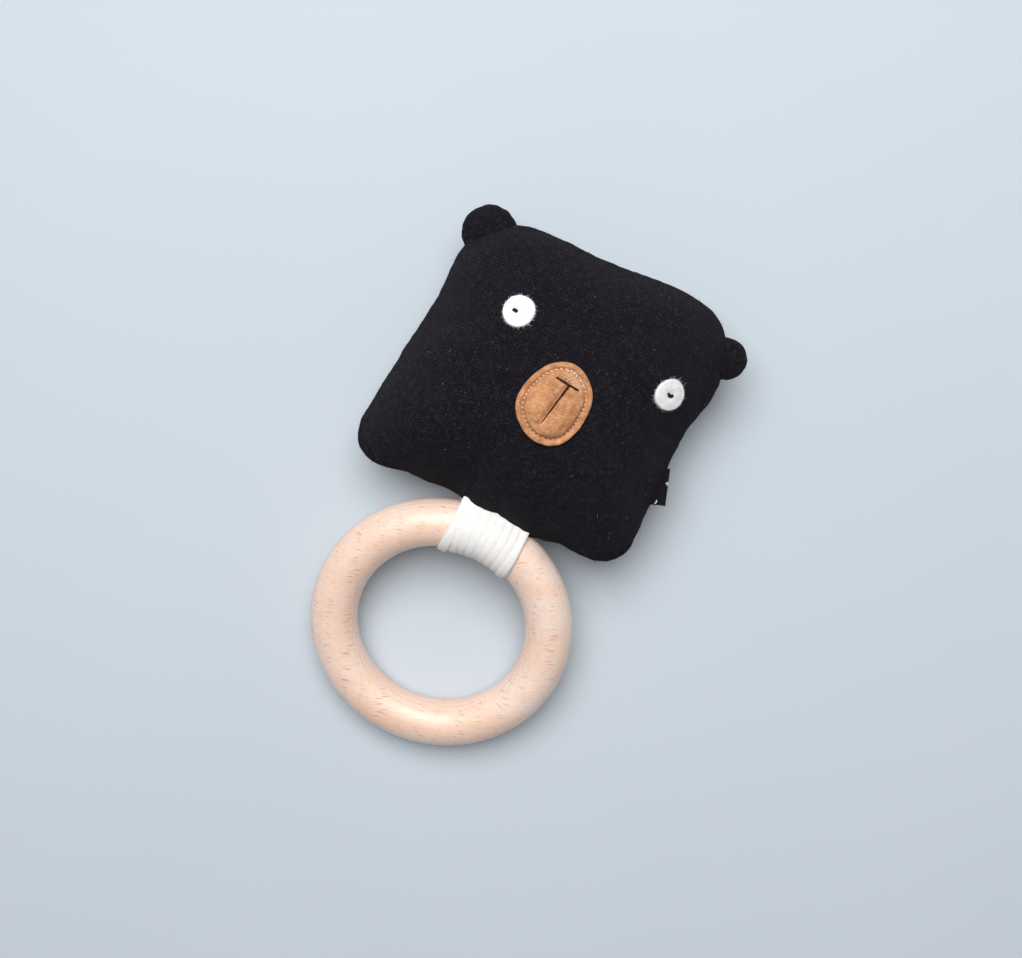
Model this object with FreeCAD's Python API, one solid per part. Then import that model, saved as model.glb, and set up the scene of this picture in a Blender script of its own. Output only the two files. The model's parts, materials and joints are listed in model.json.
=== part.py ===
"""Soft bear-face baby rattle with a wooden teething ring, lying on its back.

Millimetres. The origin is the centre of the flat patch that the cushion rests on.
+X runs across the face to its left ear side, +Y from the ring to the ears, +Z out of the face.
A knitted cushion of two panels holds two pads of filling with a closed rattle capsule between them.
Nine turns of cotton cord lash a turned beech ring to the bottom seam, which works as a hinge.
"""

import FreeCAD
import Part
import math
import os

V = FreeCAD.Vector
X_AXIS = V(1, 0, 0)
Z_AXIS = V(0, 0, 1)

# Cushion
SEAM_Z = 20.5            # height of the side seam above the table
FRONT_RISE = 18.0        # the face stands this far above the seam
REST_SCALE = 0.45        # the back is flat where the outline has shrunk to this share
FULLNESS = 3.2           # how round the cushion's profile is: 2 is a dome, 5 a box
FABRIC = 1.2             # thickness of the knit
HALF_WIDTH = 37.5        # mean distance from the middle to the seam
ALLOWANCE = 4.0          # the seam allowance turned to the inside
ALLOWANCE_T = 1.0        # thickness of one layer of allowance
SOFT_GAP = 0.25          # air between soft pieces
FRONT_LEVELS = (1.0, 0.94, 0.86, 0.76, 0.63, 0.47, 0.30, 0.14)
BACK_LEVELS = (1.0, 0.94, 0.86, 0.76, 0.62, REST_SCALE)
SEAM_OUTLINE = (         # the seam seen from the front, from the middle of the bottom side
    (3.6, -33.6), (14.5, -34.0), (26.0, -35.6), (32.8, -34.4), (36.9, -31.0), (37.6, -25.0),
    (37.2, -14.0), (36.7, -3.0), (36.8, 5.5), (38.3, 13.0), (38.6, 20.0), (36.4, 27.6),
    (31.0, 33.6), (22.0, 36.1), (8.0, 35.1), (-6.0, 33.9), (-20.0, 33.3), (-27.0, 30.9),
    (-31.6, 26.6), (-34.9, 20.5), (-35.1, 10.0), (-36.2, -3.0), (-37.6, -17.0), (-38.4, -28.0),
    (-36.8, -35.2), (-31.0, -37.8), (-22.0, -36.3), (-7.5, -34.0),
)

# Face
FELT = 1.1
EYE_R = 4.25
PUPIL_R = 0.75
EYES = {"left": ((26.6, 11.4), (26.6, 11.2)), "right": ((-15.1, 12.9), (-15.9, 12.5))}
SNOUT_CENTRE = (2.5, -3.0)
SNOUT_HALF = (8.7, 10.5)
STITCH_INSET = 1.7
STITCH_COUNT = 38
STITCH_LENGTH = 0.95
THREAD_R = 0.24
THREAD_SUNK = 0.15
NOSE_ENDS = ((0.2, 3.0), (6.1, 2.3))
MOUTH_ENDS = ((4.2, 2.6), (1.6, -8.8))
YARN_R = 0.38

# Ears: where the base sits on the seam, and the way it points, in degrees from +X
EARS = {"left": ((37.9, 26.2), 21.0), "right": ((-30.7, 27.2), 138.0)}
EAR_R = {"left": 5.4, "right": 7.05}
EAR_SUNK = {"left": 0.8, "right": 0.25}      # the ear's circle is centred this far inside the seam
EAR_HALF_T = 2.8
EAR_FABRIC = 0.9

# Side label
LABEL_AT = (36.6, -10.8)
LABEL_SLANT = 20.0
LABEL_LENGTH = 9.6
LABEL_REACH = 2.6
LABEL_LAYER = 0.45
LABEL_FOLD_GAP = 0.15
TACK_R = 0.3

# Rattle capsule and its shot
CAPSULE_R = 12.0
CAPSULE_WALL = 1.4
CAPSULE_BASE_Z = 12.5
CAPSULE_TOP_Z = 27.5
CAPSULE_SPLIT_Z = 19.5
SPIGOT_H = 2.0
SPIGOT_WALL = 0.7
SNAP_GAP = 0.05
CAPSULE_EDGE = 1.6
SHOT_COUNT = 7
SHOT_R = 2.0
SHOT_CIRCLE = 6.6
SHOT_LIFT = 0.02         # the shot clears the floor by this much

# Ring and its lashing
RING_R = 28.7            # to the middle of the wood
WOOD_R = 6.3             # half the wood's thickness
RING_TILT = 12.0         # the lashed side is held up by the seam
RING_CENTRE = V(3.6, -69.8, WOOD_R + RING_R * math.sin(math.radians(RING_TILT)))
SLIP = 0.05              # running clearance between cord and wood
CORD_T = 1.05
GROOVE = 0.45            # how deep the gaps between turns are
TURNS = 9
TURN_PITCH = 2.06
TURN_WIDTH = 1.8
LASHING_SHIFT = -0.7     # the lashing sits a little to one side of the ring's middle
BEAD_R = 0.6             # the seam's rolled edge, which the lashing turns on
BEAD_SPAN = 19.0
SEAM_TO_WOOD = 8.2       # from the seam's edge to the middle of the wood

# Inside seam
LOCKSTITCHES = 52
LOCKSTITCH_R = 0.25
LOCKSTITCH_LENGTH = 2.6
LOCK_R = 0.2             # the thread is pulled thinner where it goes through


def ring_point(angle):
    """A point on the wood's centreline, the lashed side being at 90 degrees."""
    tilt = math.radians(RING_TILT)
    along = RING_R * math.sin(math.radians(angle))
    return RING_CENTRE + V(
        RING_R * math.cos(math.radians(angle)), along * math.cos(tilt), along * math.sin(tilt)
    )


LASHED = ring_point(90)
HINGE = V(
    LASHED.x + LASHING_SHIFT,
    LASHED.y + math.sqrt(SEAM_TO_WOOD**2 - (SEAM_Z - LASHED.z) ** 2),
    SEAM_Z,
)


# ---------------------------------------------------------------- shared shapes


def outline(scale, z):
    """The seam's outline as a closed wire, scaled about the middle, at height z."""
    curve = Part.BSplineCurve()
    curve.interpolate([V(x * scale, y * scale, z) for x, y in SEAM_OUTLINE], PeriodicFlag=True)
    return Part.Wire([curve.toShape()])


def slab(scale, low, high):
    """A plate of the outline's shape between two heights."""
    return Part.Face(outline(scale, low)).extrude(V(0, 0, high - low))


def profile(scale, rise):
    """Height above the seam where the outline has shrunk to scale."""
    return rise * (1 - scale**FULLNESS)


def back_rise():
    return SEAM_Z / (1 - REST_SCALE**FULLNESS)


def dome(levels, rise, grow, side):
    """Half of the cushion, filled and grow larger all round: side 1 is the face, -1 the back."""
    spread = 1 + grow / HALF_WIDTH
    stretch = side * (1 + grow / rise)
    wires = [outline(s * spread, SEAM_Z + stretch * profile(s, rise)) for s in levels]
    return Part.makeLoft(wires, True, False)


def front_dome(grow=0.0):
    return dome(FRONT_LEVELS, FRONT_RISE, grow, 1)


def back_dome(grow=0.0):
    return dome(BACK_LEVELS, back_rise(), grow, -1)


def face_height(x, y):
    """Height of the face panel's surface over a point, by the outline's own scale there."""
    low, high = 0.02, 1.0
    ray = math.atan2(y, x)
    far = seam_distance(ray)
    share = min(high, max(low, math.hypot(x, y) / far))
    return SEAM_Z + profile(share, FRONT_RISE)


def seam_distance(angle):
    """How far the seam is from the middle in the direction of an angle in radians."""
    reach = V(100 * math.cos(angle), 100 * math.sin(angle), 0)
    ray = Part.LineSegment(V(0, 0, 0), reach).toShape()
    hit = ray.distToShape(outline(1.0, 0))[1][0][0]
    return math.hypot(hit.x, hit.y)


def on_felt(x, y):
    """Where thread lies on the felt, over a point of the face."""
    return V(x, y, face_height(x, y) + FELT - THREAD_SUNK)


def capsule_rod(start, end, radius):
    """A round-ended rod, the shape of one short stitch: half its outline, turned about its length."""
    long = (end - start).Length
    slant = radius * math.sqrt(0.5)
    foot = Part.Arc(V(0, 0, -radius), V(slant, 0, -slant), V(radius, 0, 0))
    side = Part.LineSegment(V(radius, 0, 0), V(radius, 0, long))
    head = Part.Arc(V(radius, 0, long), V(slant, 0, long + slant), V(0, 0, long + radius))
    axis = Part.LineSegment(V(0, 0, long + radius), V(0, 0, -radius))
    face = Part.Face(Part.Wire([line.toShape() for line in (foot, side, head, axis)]))
    rod = face.revolve(V(0, 0, 0), Z_AXIS, 360)
    rod.Placement = FreeCAD.Placement(start, FreeCAD.Rotation(Z_AXIS, end - start))
    return rod


def ellipse_plate(centre, half, low, high):
    """An upright elliptical plate whose longer half runs along Y."""
    curve = Part.Ellipse(V(centre[0], centre[1], low), half[1], half[0])
    plate = Part.Face(Part.Wire([curve.toShape()])).extrude(V(0, 0, high - low))
    plate.rotate(V(centre[0], centre[1], 0), Z_AXIS, 90)
    return plate


def bead():
    """The rolled edge of the bottom seam, which the lashing holds."""
    return Part.makeCylinder(BEAD_R, BEAD_SPAN, HINGE - X_AXIS * (BEAD_SPAN / 2), X_AXIS)


# ---------------------------------------------------------------- cushion


def panel(solid, hollow, side):
    """One knitted panel: a shell with its seam allowance turned in, and its half of the seam's edge."""
    inner_scale = 1 - FABRIC / HALF_WIDTH
    rim = slab(inner_scale + 0.01, SEAM_Z, SEAM_Z + side * ALLOWANCE_T)
    rim = rim.cut(slab(1 - (FABRIC + ALLOWANCE) / HALF_WIDTH, SEAM_Z, SEAM_Z + side * ALLOWANCE_T))
    half_space = Part.makeBox(120, 120, 60, V(-60, -60, SEAM_Z if side > 0 else SEAM_Z - 60))
    return solid.cut(hollow).fuse(rim).fuse(bead().common(half_space))


def front_panel():
    return panel(front_dome(), front_dome(-FABRIC), 1)


def back_panel():
    return panel(back_dome(), back_dome(-FABRIC), -1)


def seam_stitches():
    """Lockstitches through both layers of the allowance, one solid each."""
    track = outline(1 - (FABRIC + ALLOWANCE / 2) / HALF_WIDTH, SEAM_Z).Edges[0]
    first, last = track.ParameterRange
    reach = ALLOWANCE_T + LOCKSTITCH_R
    stitches = []
    for i in range(LOCKSTITCHES):
        u = first + (last - first) * i / LOCKSTITCHES
        middle, way = track.valueAt(u), track.tangentAt(u)
        back = middle - way * (LOCKSTITCH_LENGTH / 2)
        ahead = middle + way * (LOCKSTITCH_LENGTH / 2)
        up = V(0, 0, reach)
        top = capsule_rod(back + up, ahead + up, LOCKSTITCH_R)
        bottom = capsule_rod(back - up, ahead - up, LOCKSTITCH_R)
        through = capsule_rod(ahead - up, ahead + up, LOCK_R)
        stitches.append(top.fuse([through, bottom]))
    return Part.makeCompound(stitches)


def filling(solid, side):
    """A pad of fibre filling, with a pocket for half of the capsule."""
    depth = ALLOWANCE_T + 2 * LOCKSTITCH_R + SOFT_GAP
    room = slab(1 - (FABRIC - SOFT_GAP) / HALF_WIDTH, SEAM_Z, SEAM_Z + side * depth)
    middle = slab(1 - (FABRIC + ALLOWANCE + SOFT_GAP) / HALF_WIDTH, SEAM_Z, SEAM_Z + side * 4)
    pocket = Part.makeCylinder(
        CAPSULE_R + SOFT_GAP,
        CAPSULE_TOP_Z - CAPSULE_BASE_Z + 2 * SOFT_GAP,
        V(0, 0, CAPSULE_BASE_Z - SOFT_GAP),
    )
    return solid.cut(room.cut(middle)).cut(pocket)


def filling_front():
    return filling(front_dome(-FABRIC - SOFT_GAP), 1)


def filling_back():
    return filling(back_dome(-FABRIC - SOFT_GAP), -1)


# ---------------------------------------------------------------- face


def felt_patch(plate):
    """Felt of an upright plate's outline, laid on the face."""
    return plate.common(front_dome(FELT)).cut(front_dome(SLIP))


def eye(side):
    centre = EYES[side][0]
    return felt_patch(Part.makeCylinder(EYE_R, 40, V(*centre, SEAM_Z)))


def pupil(side):
    """A knot of black thread in the eye."""
    x, y = EYES[side][1]
    return Part.makeSphere(PUPIL_R, on_felt(x, y))


def snout():
    return felt_patch(ellipse_plate(SNOUT_CENTRE, SNOUT_HALF, SEAM_Z, SEAM_Z + 40))


def snout_stitches():
    """A running stitch round the snout, inside its edge."""
    stitches = []
    for i in range(STITCH_COUNT):
        ends = []
        for step in (-STITCH_LENGTH / 2, STITCH_LENGTH / 2):
            half_x, half_y = (h - STITCH_INSET for h in SNOUT_HALF)
            angle = 2 * math.pi * i / STITCH_COUNT + step / ((half_x + half_y) / 2)
            x = SNOUT_CENTRE[0] + half_x * math.cos(angle)
            y = SNOUT_CENTRE[1] + half_y * math.sin(angle)
            ends.append(on_felt(x, y))
        stitches.append(capsule_rod(*ends, THREAD_R))
    return Part.makeCompound(stitches)


def yarn_line(ends):
    """One long stitch of black yarn, pulled tight across the snout."""
    return capsule_rod(on_felt(*ends[0]), on_felt(*ends[1]), YARN_R)


# ---------------------------------------------------------------- ears and label


def ear_frame(side):
    """Where an ear's base is, the way it points, and its hinge axis along the seam."""
    (x, y), angle = EARS[side]
    way = V(math.cos(math.radians(angle)), math.sin(math.radians(angle)), 0)
    return V(x, y, SEAM_Z), way, V(-way.y, way.x, 0)


def ear_body(side, shrink):
    """A flat ellipsoid trimmed to leave the cushion free."""
    base, way, _ = ear_frame(side)
    stretch = FreeCAD.Matrix()
    reach = EAR_R[side] - shrink
    stretch.scale(reach, reach, EAR_HALF_T - shrink)
    body = Part.makeSphere(1.0).transformGeometry(stretch)
    body.translate(base - way * EAR_SUNK[side])
    return body.cut(slab(1 + SOFT_GAP / HALF_WIDTH, 0, 2 * SEAM_Z))


def ear_layer(side, above):
    """The front or the back layer of an ear."""
    shell = ear_body(side, 0).cut(ear_body(side, EAR_FABRIC))
    base = ear_frame(side)[0]
    corner = V(base.x - 20, base.y - 20, SEAM_Z if above else SEAM_Z - 20)
    return shell.common(Part.makeBox(40, 40, 20, corner))


def ear_padding(side):
    return ear_body(side, EAR_FABRIC + 0.1)


def label_block(length, low, high, z_low, z_high):
    """A block in the label's own frame: low and high are reaches away from the seam."""
    block = Part.makeBox(high - low, length, z_high - z_low, V(low, -length / 2, z_low))
    block.rotate(V(0, 0, 0), Z_AXIS, LABEL_SLANT)
    block.translate(V(*LABEL_AT, SEAM_Z))
    return block


def side_label():
    """A ribbon folded in half, its fold outwards, trimmed to the part outside the seam."""
    half_t = LABEL_LAYER + LABEL_FOLD_GAP / 2
    ribbon = label_block(LABEL_LENGTH, -4, LABEL_REACH, -half_t, half_t)
    slit = label_block(
        LABEL_LENGTH, -4, LABEL_REACH - LABEL_LAYER, -LABEL_FOLD_GAP / 2, LABEL_FOLD_GAP / 2
    )
    return ribbon.cut(slit).cut(slab(1 + SOFT_GAP / HALF_WIDTH, 0, 2 * SEAM_Z))


def label_tacks():
    """Two small tacks of white thread that hold the label's layers together."""
    half_t = LABEL_LAYER + LABEL_FOLD_GAP / 2 + TACK_R / 2
    tacks = []
    for along in (-LABEL_LENGTH / 2 + 1.0, 0.6):
        turn = math.radians(LABEL_SLANT)
        reach = LABEL_REACH - 0.9
        x = LABEL_AT[0] + reach * math.cos(turn) - along * math.sin(turn)
        y = LABEL_AT[1] + reach * math.sin(turn) + along * math.cos(turn)
        tacks.append(capsule_rod(V(x, y, SEAM_Z - half_t), V(x, y, SEAM_Z + half_t), TACK_R))
    return Part.makeCompound(tacks)


# ---------------------------------------------------------------- rattle capsule


def rounded_can(radius, low, high, edges_at):
    """An upright cylinder with one rim rounded."""
    can = Part.makeCylinder(radius, high - low, V(0, 0, low))
    rims = [e for e in can.Edges if len(e.Vertexes) == 1 and abs(e.Vertexes[0].Z - edges_at) < 1e-6]
    return can.makeFillet(CAPSULE_EDGE, rims)


def capsule_base():
    """The cup, with a thin spigot that snaps into the cap."""
    inner = CAPSULE_R - CAPSULE_WALL
    cup = rounded_can(CAPSULE_R, CAPSULE_BASE_Z, CAPSULE_SPLIT_Z, CAPSULE_BASE_Z)
    cup = cup.fuse(Part.makeCylinder(inner + SPIGOT_WALL, SPIGOT_H, V(0, 0, CAPSULE_SPLIT_Z)))
    return cup.cut(Part.makeCylinder(inner, 20, V(0, 0, CAPSULE_BASE_Z + CAPSULE_WALL)))


def capsule_cap():
    """The cap, counterbored to take the cup's spigot."""
    inner = CAPSULE_R - CAPSULE_WALL
    cap = rounded_can(CAPSULE_R, CAPSULE_SPLIT_Z, CAPSULE_TOP_Z, CAPSULE_TOP_Z)
    depth = CAPSULE_TOP_Z - CAPSULE_WALL - CAPSULE_SPLIT_Z
    cap = cap.cut(Part.makeCylinder(inner, depth, V(0, 0, CAPSULE_SPLIT_Z)))
    socket = Part.makeCylinder(
        inner + SPIGOT_WALL + SNAP_GAP, SPIGOT_H + SNAP_GAP, V(0, 0, CAPSULE_SPLIT_Z)
    )
    return cap.cut(socket)


def shot(number):
    """One steel ball: number 0 lies in the middle and the rest lie round it."""
    z = CAPSULE_BASE_Z + CAPSULE_WALL + SHOT_LIFT + SHOT_R
    if number == 0:
        return Part.makeSphere(SHOT_R, V(0, 0, z))
    angle = 2 * math.pi * number / (SHOT_COUNT - 1)
    centre = V(SHOT_CIRCLE * math.cos(angle), SHOT_CIRCLE * math.sin(angle), z)
    return Part.makeSphere(SHOT_R, centre)


# ---------------------------------------------------------------- ring and lashing


def place_on_ring(shape):
    """Carries a shape built round the origin, lashed side at +Y, to the tilted ring."""
    shape.rotate(V(0, 0, 0), X_AXIS, RING_TILT)
    shape.translate(RING_CENTRE)
    return shape


def teething_ring():
    return place_on_ring(Part.makeTorus(RING_R, WOOD_R))


def lashing_cord():
    """Turns of cord side by side round the wood, with a saddle that bears on the seam's edge."""
    outer = Part.makeTorus(RING_R, WOOD_R + SLIP + CORD_T)
    core = Part.makeTorus(RING_R, WOOD_R + SLIP + CORD_T - GROOVE)
    width = TURN_PITCH * (TURNS - 1) + TURN_WIDTH
    near_side = V(LASHING_SHIFT - width / 2, RING_R / 2, -20)
    wrap = core.common(Part.makeBox(width, RING_R, 40, near_side))
    ribs = []
    for i in range(TURNS):
        x = LASHING_SHIFT + TURN_PITCH * (i - (TURNS - 1) / 2) - TURN_WIDTH / 2
        ribs.append(outer.common(Part.makeBox(TURN_WIDTH, RING_R, 40, V(x, RING_R / 2, -20))))
    wrap = place_on_ring(wrap.fuse(ribs))
    return wrap.fuse(saddle()).cut(place_on_ring(Part.makeTorus(RING_R, WOOD_R + SLIP)))


def saddle():
    """The cord's inside bends, which cradle the seam's edge from the ring's side."""
    span = BEAD_SPAN - 1.0
    start = HINGE - X_AXIS * (span / 2)
    rod = Part.makeCylinder(2 * BEAD_R + SLIP, span, start, X_AXIS)
    rod = rod.cut(Part.makeCylinder(BEAD_R + SLIP, span, start, X_AXIS))
    drop = math.degrees(math.atan2(HINGE.z - LASHED.z, HINGE.y - LASHED.y))
    keep = Part.makeBox(span, 5, 10, V(-span / 2, -5 - BEAD_R - SLIP - 0.1, -5))
    keep.rotate(V(0, 0, 0), X_AXIS, drop)
    keep.translate(HINGE)
    return rod.common(keep)


# ---------------------------------------------------------------- output


def nodes():
    made = {
        "front_panel": front_panel(),
        "back_panel": back_panel(),
        "seam_stitches": seam_stitches(),
        "filling_front": filling_front(),
        "filling_back": filling_back(),
        "snout": snout(),
        "snout_stitches": snout_stitches(),
        "nose_stitch": yarn_line(NOSE_ENDS),
        "mouth_stitch": yarn_line(MOUTH_ENDS),
        "side_label": side_label(),
        "label_tacks": label_tacks(),
        "capsule_base": capsule_base(),
        "capsule_cap": capsule_cap(),
        "teething_ring": teething_ring(),
        "lashing_cord": lashing_cord(),
    }
    for side in ("left", "right"):
        made[side + "_eye"] = eye(side)
        made[side + "_pupil"] = pupil(side)
        made[side + "_ear_front"] = ear_layer(side, True)
        made[side + "_ear_back"] = ear_layer(side, False)
        made[side + "_ear_padding"] = ear_padding(side)
    for number in range(SHOT_COUNT):
        made["shot_%d" % (number + 1)] = shot(number)
    return made


def main():
    os.makedirs("parts", exist_ok=True)
    for name, shape in nodes().items():
        shape.exportStep("parts/%s.step" % name)
        print(name, len(shape.Solids), "solids, valid", shape.isValid(), "volume", shape.Volume)
    print("hinge of the lashing", HINGE)
    print("ring centre", RING_CENTRE, "lashed point", LASHED)


main()
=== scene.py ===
import json
import random
from math import asin, atan2, copysign, cos, exp, floor, hypot, pi, radians, sin, sqrt

import bpy
import numpy as np
from mathutils import Matrix, Vector, noise
from mathutils.bvhtree import BVHTree


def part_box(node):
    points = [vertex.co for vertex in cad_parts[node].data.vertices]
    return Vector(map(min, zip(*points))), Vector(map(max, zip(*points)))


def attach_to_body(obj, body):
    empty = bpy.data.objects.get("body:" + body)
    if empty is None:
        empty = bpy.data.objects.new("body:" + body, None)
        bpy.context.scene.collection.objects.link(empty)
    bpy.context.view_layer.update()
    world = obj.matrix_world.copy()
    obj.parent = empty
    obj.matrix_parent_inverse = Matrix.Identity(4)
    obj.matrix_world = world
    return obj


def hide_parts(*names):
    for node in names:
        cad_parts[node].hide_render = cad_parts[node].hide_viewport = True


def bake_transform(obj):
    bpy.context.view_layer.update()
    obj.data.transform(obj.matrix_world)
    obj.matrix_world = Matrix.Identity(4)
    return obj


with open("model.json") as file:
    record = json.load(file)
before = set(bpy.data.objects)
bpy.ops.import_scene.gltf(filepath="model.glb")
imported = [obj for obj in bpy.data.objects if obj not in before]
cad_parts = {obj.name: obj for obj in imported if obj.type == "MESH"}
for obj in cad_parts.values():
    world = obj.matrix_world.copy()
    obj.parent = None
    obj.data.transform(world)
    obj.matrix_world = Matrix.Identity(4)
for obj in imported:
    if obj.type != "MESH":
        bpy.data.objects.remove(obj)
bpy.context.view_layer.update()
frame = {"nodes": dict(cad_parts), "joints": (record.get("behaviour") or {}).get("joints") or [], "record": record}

MM = 0.001
NODES = frame["nodes"]
JOINTS = {joint["name"]: joint for joint in frame["joints"]}

# ---------------- sizes, in metres unless they say mm

SEAM_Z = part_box("front_panel")[0].z
FACE_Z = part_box("front_panel")[1].z
HINGE = Vector(JOINTS["ring_fold"]["pos_m"])
RING_CENTRE = Vector(JOINTS["ring_slip"]["pos_m"])
RING_AXIS = Vector(JOINTS["ring_slip"]["axis"]).normalized()
RING_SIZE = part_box("teething_ring")[1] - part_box("teething_ring")[0]
RING_R = (RING_SIZE.x - RING_SIZE.z) / 2 / (1 - abs(RING_AXIS.y))
WOOD_R = RING_SIZE.x / 2 - RING_R

GRID = 80                    # squares across one panel of the cushion
ROW_EASE = 1.3               # draws the grid's rows together near the seam
SEAM_WAVES = 26              # the seam's outline is smoothed to this many waves
FILL_CAP = 2.0 * MM          # the most that filling the cushion moves its cloth
GATHER, ROLL = 0.24, 0.15    # the seam's gathers and its roll outwards, in mm
BACK_DROP = 1.4 * MM         # the back panel is made this much too deep, then laid flat
# Where the front hangs over the seam beside the lashing: place, half width and reach, in mm.
BULGES = ((-15.0, 7.5, 1.35), (12.3, 4.5, 1.9))
KNIT_WALE = 1.15 * MM        # a column of loops
KNIT_COURSE = 0.85 * MM      # a row of loops
THREAD_END = 0.35            # a thread's radius at its very ends, as a share
THREAD_LOBES = 0.12
THREAD_PLY = 1.1 * MM
# Felt outlines: radii in mm at even angles, from +X towards +Y.
SNOUT_RADII = (8.3, 9.1, 9.9, 10.6, 9.8, 8.75, 8.8, 9.5, 9.8, 10.3, 10.1, 8.9)
EYE_RADII = {
    "left": (3.57, 3.75, 4.0, 3.6, 3.5, 3.8, 3.9, 3.75),
    "right": (3.78, 4.0, 3.8, 3.75, 3.8, 4.0, 4.05, 3.8),
}
TURNS = 9
TURN_PITCH = 2.06 * MM
TURN_HALF = (1.34 * MM, 0.60 * MM)     # one turn's half width and half height
EAR_RADIUS = {"left": 5.4 * MM, "right": 7.05 * MM}
LABEL_AT = (36.6 * MM, -10.8 * MM)
LABEL_SLANT = radians(20.0)
LABEL_LENGTH = 9.6 * MM
LABEL_REACH = 2.6 * MM


def middle(node):
    """The middle of a CAD node's box."""
    low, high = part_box(node)
    return (low + high) / 2


# ---------------- mesh helpers


def link_object(name, data):
    obj = bpy.data.objects.new(name, data)
    bpy.context.scene.collection.objects.link(obj)
    return obj


def new_object(name, verts, faces, uv=None):
    """An object from vertices, faces and, if there are any, flat cloth coordinates per vertex."""
    mesh = bpy.data.meshes.new(name)
    mesh.from_pydata([tuple(v) for v in verts], [], [tuple(f) for f in faces])
    if uv is not None:
        layer = mesh.uv_layers.new(name="cloth")
        index = np.empty(len(mesh.loops), np.int64)
        mesh.loops.foreach_get("vertex_index", index)
        layer.data.foreach_set("uv", np.asarray(uv, np.float32)[index].ravel())
    mesh.shade_smooth()
    return link_object(name, mesh)


def coords(mesh):
    flat = np.empty(len(mesh.vertices) * 3, np.float32)
    mesh.vertices.foreach_get("co", flat)
    return flat.reshape(-1, 3).astype(float)


def apply_modifiers(obj):
    graph = bpy.context.evaluated_depsgraph_get()
    mesh = bpy.data.meshes.new_from_object(
        obj.evaluated_get(graph), preserve_all_data_layers=True, depsgraph=graph
    )
    obj.modifiers.clear()
    obj.data = mesh


def subdivide(obj):
    modifier = obj.modifiers.new("smooth", "SUBSURF")
    modifier.levels = modifier.render_levels = 1
    apply_modifiers(obj)


def sides_along(points):
    """At each point of a path, a pair of sideways directions that don't twist along it."""
    points = [Vector(p) for p in points]
    out, side = [], None
    for i in range(len(points)):
        before, after = points[max(0, i - 1)], points[min(len(points) - 1, i + 1)]
        way = (after - before).normalized()
        if side is None:
            side = way.orthogonal().normalized()
        side = (side - way * side.dot(way)).normalized()
        out.append((side, way.cross(side)))
    return out


def pipe_faces(rows, around):
    """Faces of a pipe, shut at both ends, whose vertices come row by row."""
    faces = []
    for i in range(rows - 1):
        for k in range(around):
            a, b = i * around + k, i * around + (k + 1) % around
            faces.append((a, b, b + around, a + around))
    faces.append(tuple(reversed(range(around))))
    faces.append(tuple(range((rows - 1) * around, rows * around)))
    return faces


def dome_faces(rows):
    """Faces of a dome: a fan from vertex 0 to the first closed row, then a band from each row to the next."""
    after = list(range(1, len(rows[0]))) + [0]
    faces = [(0, rows[0][k], rows[0][m]) for k, m in enumerate(after)]
    for a, b in zip(rows, rows[1:]):
        faces += [(a[k], b[k], b[m], a[m]) for k, m in enumerate(after)]
    return faces


def tube(points, section, around=8):
    """A tube along points, shut at both ends: section(i, angle) is its radius at point i and that angle."""
    verts = []
    for i, (point, (side, up)) in enumerate(zip(points, sides_along(points))):
        for k in range(around):
            angle = 2 * pi * k / around
            reach = section(i, angle)
            verts.append(Vector(point) + (side * cos(angle) + up * sin(angle)) * reach)
    return verts, pipe_faces(len(points), around)


class Parts:
    """Gathers several meshes into one object."""

    def __init__(self):
        self.verts, self.faces = [], []

    def add(self, verts, faces):
        base = len(self.verts)
        self.verts += [Vector(v) for v in verts]
        self.faces += [tuple(i + base for i in f) for f in faces]

    def build(self, name):
        return new_object(name, self.verts, self.faces)


def thread(points, radius):
    """A plied thread: round, a little lobed, and drawn in at both ends."""
    count = len(points)
    length = (Vector(points[-1]) - Vector(points[0])).length

    def section(i, angle):
        t = i / (count - 1)
        end = min(1.0, THREAD_END + min(t, 1 - t) * 6)
        run = i * length / count
        return radius * end * (1 + THREAD_LOBES * cos(2 * angle - 2 * pi * run / THREAD_PLY))

    return tube(points, section)


def polar(far, angle):
    return far * cos(angle), far * sin(angle)


def between(start, end, t):
    """The x and y a share t of the way from start to end."""
    return start[0] + (end[0] - start[0]) * t, start[1] + (end[1] - start[1]) * t


# ---------------- materials


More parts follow.
